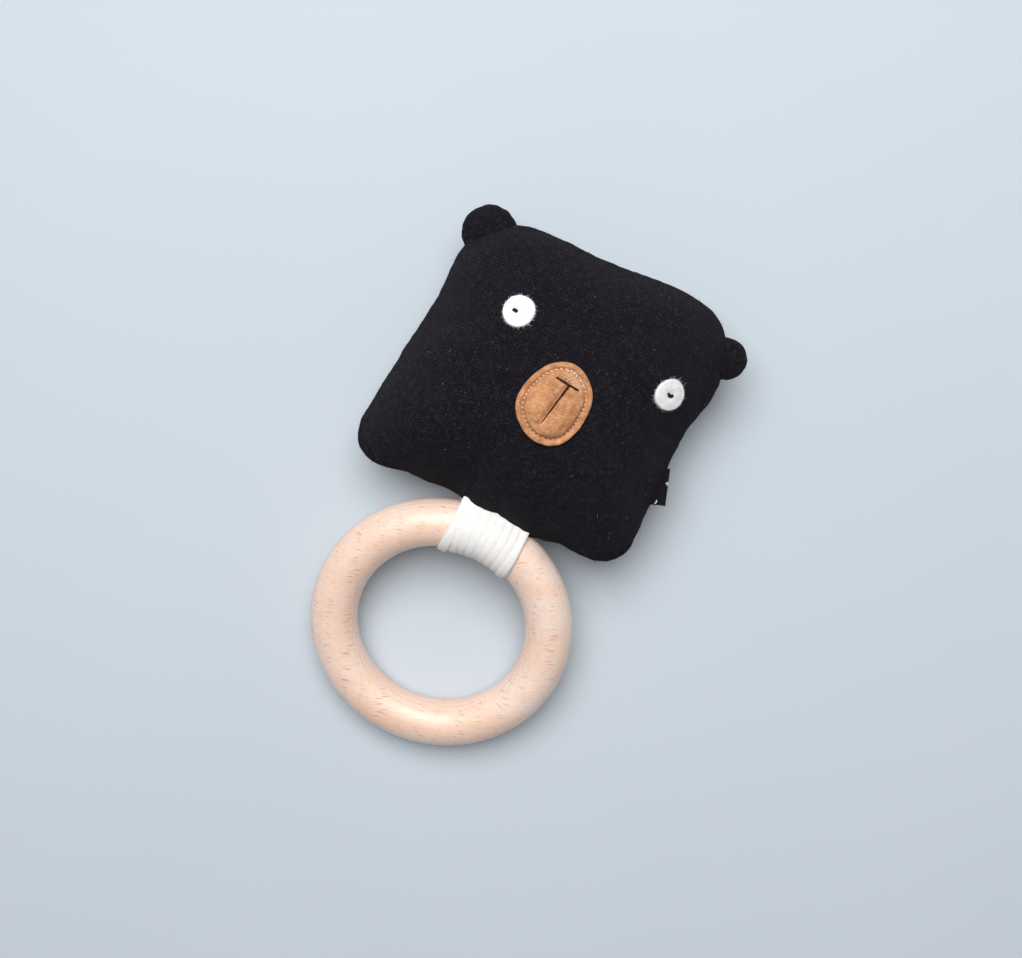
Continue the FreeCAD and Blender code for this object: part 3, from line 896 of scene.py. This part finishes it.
def snout_top(x, y, share, angle):
    """Thickness of the snout in mm: padded inside the stitching, drawn in along every stitch."""
    far = radius_at(SNOUT_RADII, angle)
    inset = far * (1 - share)
    puff = 1.5 * min(1.0, max(0.0, (inset - STITCH_INSET) / 3.0)) ** 0.6
    groove = 0.62 * exp(-(((inset - STITCH_INSET) / 0.45) ** 2))
    mouth = 1.05 * exp(-((line_distance(x, y, MOUTH) / 1.0) ** 2))
    nose = 0.6 * exp(-((line_distance(x, y, NOSE) / 0.7) ** 2))
    lumps = 0.12 * noise.noise(Vector((x, y, 4.0)) * 0.5) + 0.05 * noise.noise(Vector((x, y, 9.0)) * 1.6)
    return 1.15 + puff - groove - max(mouth, nose) + lumps


def on_snout(x, y, lift):
    """A point of the snout's felt, with x, y and lift in mm from its middle and its surface."""
    angle = atan2(y, x) % (2 * pi)
    share = min(1.0, hypot(x, y) / radius_at(SNOUT_RADII, angle))
    thick = snout_top(x, y, share, angle) + lift
    return on_face(SNOUT.x + x * MM, SNOUT.y + y * MM, thick * MM)


def make_snout():
    parts = Parts()
    parts.add(*felt_patch(SNOUT, SNOUT_RADII, snout_top, around=200, rings=64, uneven=0.010, seed=1.5))
    attach(parts, "snout_felt", "felt_caramel", "head", "snout")


def make_snout_stitches():
    """Running stitches sunk in their groove, with a short dark thread between each two as painted shade."""
    rng = random.Random(8)
    stitches, shade_dots = Parts(), Parts()
    count = 44

    def run(start, end, low, rise):
        path = []
        for k in range(7):
            t = k / 6
            angle = start + (end - start) * t
            x, y = polar(radius_at(SNOUT_RADII, angle) - STITCH_INSET, angle)
            path.append(on_snout(x, y, low + rise * sin(pi * t)))
        return path

    for n in range(count):
        angle = 2 * pi * (n + rng.uniform(-0.08, 0.08)) / count
        half = rng.uniform(0.030, 0.042)
        stitches.add(*thread(run(angle - half, angle + half, -0.16, 0.24), 0.19 * MM))
        # Painted shade: a short dark thread lies in the groove between each two stitches.
        gap = angle + pi / count
        shade_dots.add(*thread(run(gap - 0.016, gap + 0.016, -0.10, 0.08), 0.15 * MM))
    attach(stitches, "snout_topstitch", "thread_cream", "head", "snout_stitches")
    attach(shade_dots, "snout_stitch_shade", "thread_black", "head")


def make_yarn(name, node, line, radii, lift):
    """A long black stitch in its crease; radii in mm are those of its two ends."""
    count = 28
    path = []
    for k in range(count):
        dip = -0.35 if k in (0, count - 1) else 0.0
        path.append(on_snout(*between(*line, k / (count - 1)), lift + dip))

    def section(i, angle):
        radius = radii[0] + (radii[1] - radii[0]) * (i / (count - 1))
        return radius * MM * (1 + 0.08 * cos(2 * angle - i * 0.8))

    parts = Parts()
    parts.add(*tube(path, section, around=10))
    attach(parts, name, "thread_black", "head", node)


def make_nose_strands():
    """Pale loose strands between the nose and the topstitching, with their white ends."""
    rng = random.Random(21)
    parts = Parts()
    for n in range(9):
        t = n / 8 + rng.uniform(-0.05, 0.05)
        x0, y0 = between(*NOSE, 0.10 + 0.74 * t)
        angle = radians(92 - 38 * t)
        end = polar(radius_at(SNOUT_RADII, angle) - STITCH_INSET - 0.25, angle)
        path = []
        for k in range(9):
            x, y = between((x0, y0 + 0.45), end, k / 8)
            lift = -0.07 + 0.08 * sin(pi * (k / 8))
            path.append(on_snout(x + rng.uniform(-0.08, 0.08), y, lift))
        parts.add(*thread(path, rng.uniform(0.06, 0.10) * MM))
    attach(parts, "nose_strands", "thread_cream", "head")
    tacks = Parts()
    for n in range(5):
        angle = radians(94 - 34 * n / 4 + rng.uniform(-2, 2))
        path = []
        for k in range(5):
            far = radius_at(SNOUT_RADII, angle) - STITCH_INSET - 0.42 + 0.16 * k * rng.uniform(0.8, 1.2)
            path.append(on_snout(*polar(far, angle), -0.02 + 0.16 * sin(pi * k / 4)))
        tacks.add(*thread(path, 0.15 * MM))
    attach(tacks, "nose_tacks", "thread_white", "head")


# ---------------- ears and label


def ear_tip(side, way):
    """How far the CAD ear reaches from its hinge, along the way it points."""
    co = coords(NODES[side + "_ear_front"].data)
    base = np.array(JOINTS[side + "_ear_fold"]["pos_m"])
    return float(((co - base) @ np.array(way)).max())


def make_ear(side):
    """A padded half-round: two layers of knit gathered to a rolled edge."""
    joint = JOINTS[side + "_ear_fold"]
    base = Vector(joint["pos_m"])
    axis = Vector(joint["axis"]).normalized()
    way = Vector((0, 0, 1)).cross(axis).normalized()
    radius = EAR_RADIUS[side]
    centre = base + way * (ear_tip(side, way) - radius)
    around, rings, height = 72, 20, 2.95 * MM

    def put(angle, reach, lift, cloth):
        verts.append(centre + (way * cos(angle) - axis * sin(angle)) * reach + Vector((0, 0, lift)))
        uv.append((cloth * cos(angle), cloth * sin(angle)))

    angles = [2 * pi * k / around for k in range(around)]
    for upper in (True, False):
        up = 1 if upper else -1
        verts, uv = [centre + Vector((0, 0, 2.9 * MM * up))], [(0, 0)]
        for r in range(1, rings + 1):
            share = sin(0.5 * pi * r / rings)
            for angle in angles:
                spot = Vector((*polar(1, angle), 0))
                ripple = noise.noise(spot * 3.4 + Vector((0, 0, 2.0 if side == "left" else 6.0)))
                fine = noise.noise(spot * 9.0 + Vector((0, 0, 1.0)))
                reach = radius * share * (1 + (0.040 * ripple + 0.024 * fine) * share**3)
                puff = height * max(0.0, 1 - share**2.4) ** 0.62
                wrinkle = 0.55 * MM * (ripple + 0.6 * fine) * sin(pi * share)
                put(angle, reach, (puff + wrinkle) * up, share * radius * 1.15)
        for angle in angles:
            put(angle, radius * 0.95, 0.05 * MM * up, radius * 1.2)
        faces = dome_faces([range(1 + r * around, 1 + (r + 1) * around) for r in range(rings + 1)])
        if not upper:
            faces = [tuple(reversed(f)) for f in faces]
        layer = "front" if upper else "back"
        ear = new_object(f"{side}_ear_knit_{layer}", verts, faces, uv=uv)
        subdivide(ear)
        dress(ear, "knit_black")
        replaced = [f"{side}_ear_{layer}"] + ([f"{side}_ear_padding"] if upper else [])
        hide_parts(*replaced)
        rng = random.Random(31 + upper)
        parts = Parts()
        fibres(parts, surface_spots(ear, 110, rng), 0.6 * MM, 0.02 * MM, rng)
        nap = dress(parts.build(f"{side}_ear_nap_{layer}"), "thread_black")
        for piece in (ear, nap):
            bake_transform(piece)


def make_label():
    """A ribbon folded in half, slightly wavy, with its fold outwards."""
    out = Vector((cos(LABEL_SLANT), sin(LABEL_SLANT), 0))
    run = Vector((-sin(LABEL_SLANT), cos(LABEL_SLANT), 0))
    centre = Vector((*LABEL_AT, SEAM_Z))
    half, thick, fold, steps = LABEL_LENGTH / 2, 0.34 * MM, 0.42 * MM, 40
    inner = [(-3.4 * MM, fold), (-1.0 * MM, fold), (1.2 * MM, fold)]
    bend = np.linspace(0, pi, 9)
    profile = inner + [(LABEL_REACH - fold + fold * sin(a), fold * cos(a)) for a in bend]
    profile += [(x, -z) for x, z in reversed(inner)]
    verts, faces = [], []
    for i in range(steps + 1):
        t = i / steps
        for k, (x, z) in enumerate(profile):
            wave = 0.16 * MM * noise.noise(Vector((t * 5, k * 0.15, 1.0)))
            fray = 0.10 * MM * noise.noise(Vector((k * 0.9, i, 4.0))) if i in (0, steps) else 0.0
            verts.append(centre + out * x + run * ((2 * t - 1) * half + fray) + Vector((0, 0, z + wave)))
    count = len(profile)
    for i in range(steps):
        for k in range(count - 1):
            a = i * count + k
            faces.append((a, a + 1, a + count + 1, a + count))
    label = new_object("side_label_ribbon", verts, faces)
    modifier = label.modifiers.new("thick", "SOLIDIFY")
    modifier.thickness, modifier.offset = thick, 0.0
    apply_modifiers(label)
    dress(label, "label_ribbon")
    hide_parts("side_label")
    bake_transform(label)
    parts = Parts()
    rng = random.Random(5)
    for along, at in ((0.5, 2.3), (0.9, 2.0), (-4.5, -0.2), (-4.2, 0.3)):
        start = centre + out * at * MM + run * along * MM + Vector((0, 0, 0.78 * MM))
        way = (run * rng.uniform(0.4, 1.0) + out * rng.uniform(-0.8, 0.8)).normalized()
        path = [start + way * 0.16 * MM * k + Vector((0, 0, 0.12 * MM * sin(k * 0.6))) for k in range(6)]
        parts.add(*thread(path, 0.13 * MM))
    attach(parts, "label_tack_threads", "thread_white", "label", "label_tacks")


# ---------------- ring and lashing


ACROSS = Vector((1, 0, 0))
AHEAD = RING_AXIS.cross(ACROSS).normalized()       # from the ring's middle towards the lashing


def ring_place(x, y, z):
    """A point in the ring's own axes: across, towards the lashing and up through the ring."""
    return RING_CENTRE + ACROSS * x + AHEAD * y + RING_AXIS * z


def make_ring():
    """Turned and sanded wood, round in section with the slightest hand-sanded unevenness."""
    around, section = 288, 72
    verts, faces = [], []
    for i in range(around):
        turn = 2 * pi * i / around
        for k in range(section):
            angle = 2 * pi * k / section
            spot = Vector((cos(turn), sin(turn), 0)) * 2.0
            uneven = noise.noise(spot + Vector((cos(angle), sin(angle), 0)))
            radius = WOOD_R - 0.05 * MM + 0.05 * MM * uneven
            far = RING_R + radius * cos(angle)
            verts.append(ring_place(far * cos(turn), far * sin(turn), radius * sin(angle)))
            j, m = (i + 1) % around, (k + 1) % section
            faces.append((i * section + k, j * section + k, j * section + m, i * section + m))
    parts = Parts()
    parts.add(verts, faces)
    attach(parts, "wood_ring", "beech", "ring", "teething_ring")


def turn_path(offset, lean, half):
    """One turn of cord: out of the seam, round the wood and back into the seam."""
    to_seam = HINGE - RING_CENTRE
    seam_y, seam_z = to_seam.dot(AHEAD) + 1.3 * MM, to_seam.dot(RING_AXIS)
    reach, leave, count = WOOD_R + half, radians(33), 64

    def on_wood(angle, x):
        far = RING_R + reach * cos(angle)
        return Vector((x, sqrt(far * far - x * x), reach * sin(angle)))

    path = []
    for k in range(count + 1):
        t = k / count
        angle = leave + (2 * pi - 2 * leave) * t
        path.append(on_wood(-angle, offset + lean * (t - 0.5)))
    start, end = path[0], path[-1]
    seam_low = Vector((offset - lean * 0.5, seam_y, seam_z - 0.5 * MM))
    seam_high = Vector((offset + lean * 0.5, seam_y, seam_z + 0.5 * MM))
    lead_in = [seam_low.lerp(start, s) for s in (0.0, 0.2, 0.4, 0.6, 0.8)]
    lead_out = [end.lerp(seam_high, s) for s in (0.2, 0.4, 0.6, 0.8, 1.0)]
    path = lead_in + path + lead_out
    for _ in range(3):
        path = [path[0]] + [
            (path[i - 1] + path[i] * 2 + path[i + 1]) / 4 for i in range(1, len(path) - 1)
        ] + [path[-1]]
    return [ring_place(*p) for p in path]


def make_lashing():
    """Turns of soft cord with fine strands, pressed flat against the wood and each other."""
    rng = random.Random(17)
    parts = Parts()
    half_wide, half_tall = TURN_HALF
    shift = HINGE.x - RING_CENTRE.x
    for n in range(TURNS):
        offset = shift + (n - (TURNS - 1) / 2) * TURN_PITCH + rng.uniform(-0.10, 0.10) * MM
        path = turn_path(offset, TURN_PITCH * rng.uniform(0.10, 0.25), half_tall + rng.uniform(0, 0.12) * MM)
        around, verts = 72, []
        phase = rng.uniform(0, 6)
        run = 0.0
        for i, point in enumerate(path):
            before, after = path[max(0, i - 1)], path[min(len(path) - 1, i + 1)]
            way = (after - before).normalized()
            side = (ACROSS - way * ACROSS.dot(way)).normalized()
            up = way.cross(side)
            run += (point - path[i - 1]).length if i else 0.0
            for k in range(around):
                angle = 2 * pi * k / around
                strands = 1 + 0.040 * cos(16 * angle - 2 * pi * run / (14 * MM) + phase)
                wobble = 1 + 0.050 * noise.noise(Vector((run / MM * 0.5, k * 0.16, phase)))
                wide = copysign(abs(cos(angle)) ** 0.75, cos(angle))
                tall = copysign(abs(sin(angle)) ** 0.60, sin(angle))
                place = side * wide * half_wide + up * tall * half_tall
                verts.append(point + place * strands * wobble)
        parts.add(verts, pipe_faces(len(path), around))
    spots = surface_spots(parts.build("lashing_blank"), 900, rng, lambda point: point.y < HINGE.y)
    bpy.data.objects.remove(bpy.data.objects["lashing_blank"])
    fibres(parts, spots, 0.5 * MM, 0.012 * MM, rng)
    attach(parts, "lashing_turns", "cord_natural", "binding", "lashing_cord")


# ---------------- studio

TOY_TURN = radians(26.8)      # how far the toy's length is turned clockwise from upright
CAMERA_TILT = radians(6.6)
CAMERA_PLACE = Vector((-16.49, 11.28, 381.59)) * MM
LENS_MM, SENSOR_MM = 50.0, 36.0


def view_axes():
    """The directions on the floor that the camera sees as right and up."""
    right = Vector((cos(TOY_TURN), sin(TOY_TURN), 0))
    up = Vector((-sin(TOY_TURN), cos(TOY_TURN), 0))
    return right, up


def make_camera():
    right, up = view_axes()
    lift = Vector((0, 0, 1))
    view = -sin(CAMERA_TILT) * up - cos(CAMERA_TILT) * lift
    head = cos(CAMERA_TILT) * up - sin(CAMERA_TILT) * lift
    data = bpy.data.cameras.new("camera")
    data.lens, data.sensor_width = LENS_MM, SENSOR_MM
    data.clip_start, data.clip_end = 0.01, 20
    camera = link_object("camera", data)
    turn = Matrix((right, head, -view)).transposed().to_4x4()
    camera.matrix_world = Matrix.Translation(CAMERA_PLACE) @ turn
    bpy.context.scene.camera = camera


def make_floor():
    half = 3.0
    verts = [(-half, -half, 0), (half, -half, 0), (half, half, 0), (-half, half, 0)]
    board = new_object("floor", verts, [(0, 1, 2, 3)])
    board.location.z = -0.02 * MM
    board.data.materials.append(FLOOR_MATERIAL)


def area_light(name, place, size, power, colour):
    data = bpy.data.lights.new(name, "AREA")
    data.shape, data.size = "DISK", size
    data.energy, data.color = power, colour
    lamp = link_object(name, data)
    lamp.location = place
    aim = Vector((0, -0.03, 0.02)) - Vector(place)
    lamp.rotation_euler = aim.to_track_quat("-Z", "Y").to_euler()


def make_lights():
    """A wide soft key beyond the ears, a nearer lamp overhead and dim surroundings; powers in watts."""
    right, up = view_axes()
    key = -right * 0.20 + up * 0.58 + Vector((0, 0, 1.34))
    area_light("key", key, size=1.30, power=16.3, colour=(1.0, 0.995, 0.99))
    above = up * 0.25 + Vector((0, 0, 0.6))
    area_light("above", above, size=0.50, power=2.25, colour=(1.0, 0.985, 0.97))
    world = bpy.data.worlds.new("studio")
    bpy.context.scene.world = world
    world.use_nodes = True
    background = world.node_tree.nodes["Background"]
    background.inputs["Color"].default_value = (0.955, 0.98, 1.0, 1)
    background.inputs["Strength"].default_value = 0.15
    bpy.context.scene.view_settings.view_transform = "Standard"


# ---------------- everything

make_camera()
make_floor()
make_lights()
make_nap()
for SIDE in ("left", "right"):
    make_eye(SIDE)
    make_pupil(SIDE)
    make_ear(SIDE)
make_snout()
make_snout_stitches()
make_yarn("nose_yarn", "nose_stitch", NOSE, (0.30, 0.30), -0.05)
make_yarn("mouth_yarn", "mouth_stitch", MOUTH, (0.42, 0.20), -0.16)
make_nose_strands()
make_label()
make_ring()
make_lashing()

for entry in frame["record"]["subparts"]:
    NODE = NODES[entry["node"]]
    NODE.data.materials.clear()
    NODE.data.materials.append(MATERIALS[entry["material_slot"]])
